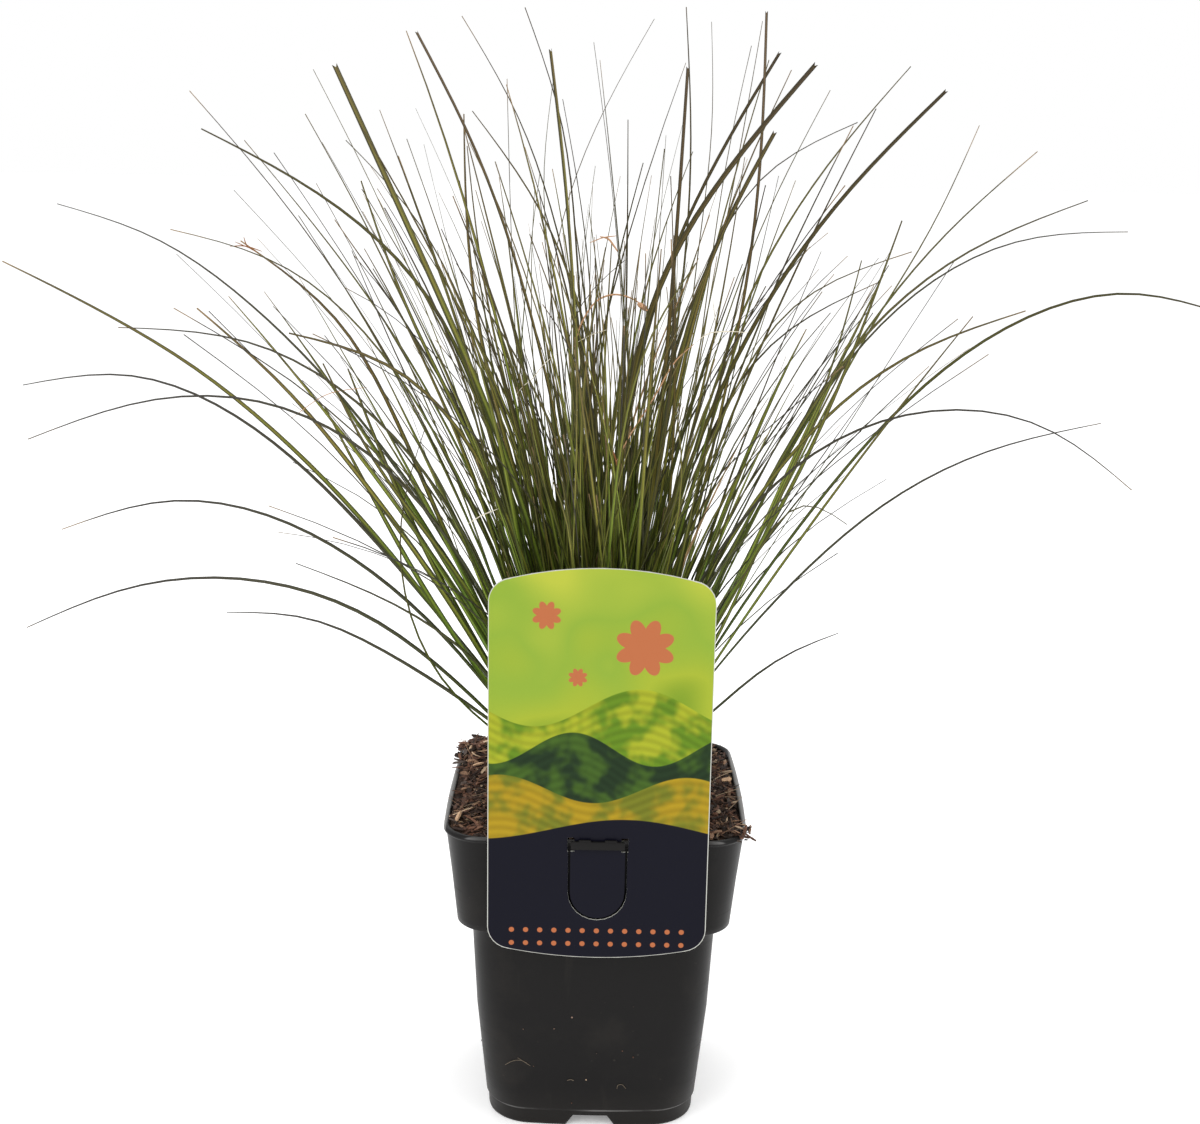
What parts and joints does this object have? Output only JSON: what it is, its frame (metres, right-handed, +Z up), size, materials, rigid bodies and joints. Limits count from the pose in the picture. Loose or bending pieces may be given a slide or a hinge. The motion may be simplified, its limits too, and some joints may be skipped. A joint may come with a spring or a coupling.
{
  "type": "potted sedge",
  "caption": "A tuft of narrow arching sedge leaves growing in soil in a square tapered nursery pot, with a plant card clipped to the front of the rim.",
  "frame": {"origin": "middle of the pot's foot, on the surface that the pot stands on, below the middle of the tuft", "axes": "+Z up, -Y towards the viewer and the side that the plant card hangs on, +X to the viewer's right"},
  "size_m": [0.456, 0.344, 0.411],
  "materials": {
    "pot_plastic": "satin black moulded plastic, thin walls, paler along the rolled lip",
    "card_print": "thin printed plastic card, dark blue band at the left, soft green and yellow picture area",
    "soil": "damp dark potting soil of bark chips and coir fibres",
    "leaf_green": "olive green sedge leaf, finely ribbed, half matt",
    "leaf_olive": "olive sedge leaf with a bronze tip, finely ribbed, half matt",
    "leaf_bronze": "bronze to orange brown sedge leaf, finely ribbed, half matt"
  },
  "bodies": {
    "root": {"pot": "pot_plastic", "label": "card_print", "soil": "soil", "shoot_01": "leaf_green", "shoot_02": "leaf_olive", "shoot_03": "leaf_bronze", "shoot_04": "leaf_green", "shoot_05": "leaf_olive", "shoot_06": "leaf_green", "shoot_07": "leaf_bronze", "shoot_08": "leaf_green", "shoot_09": "leaf_olive", "shoot_10": "leaf_green", "shoot_11": "leaf_bronze", "shoot_12": "leaf_olive", "shoot_13": "leaf_green", "shoot_14": "leaf_olive", "shoot_15": "leaf_green", "shoot_16": "leaf_bronze", "shoot_17": "leaf_olive", "shoot_18": "leaf_green", "shoot_19": "leaf_bronze", "shoot_20": "leaf_green", "shoot_21": "leaf_olive", "shoot_22": "leaf_green", "shoot_23": "leaf_bronze", "shoot_24": "leaf_olive", "shoot_25": "leaf_green", "shoot_26": "leaf_olive", "shoot_27": "leaf_bronze", "shoot_28": "leaf_green", "shoot_29": "leaf_olive", "shoot_30": "leaf_green", "shoot_31": "leaf_bronze", "shoot_32": "leaf_olive", "shoot_33": "leaf_green", "shoot_34": "leaf_olive"}
  },
  "joints": []
}
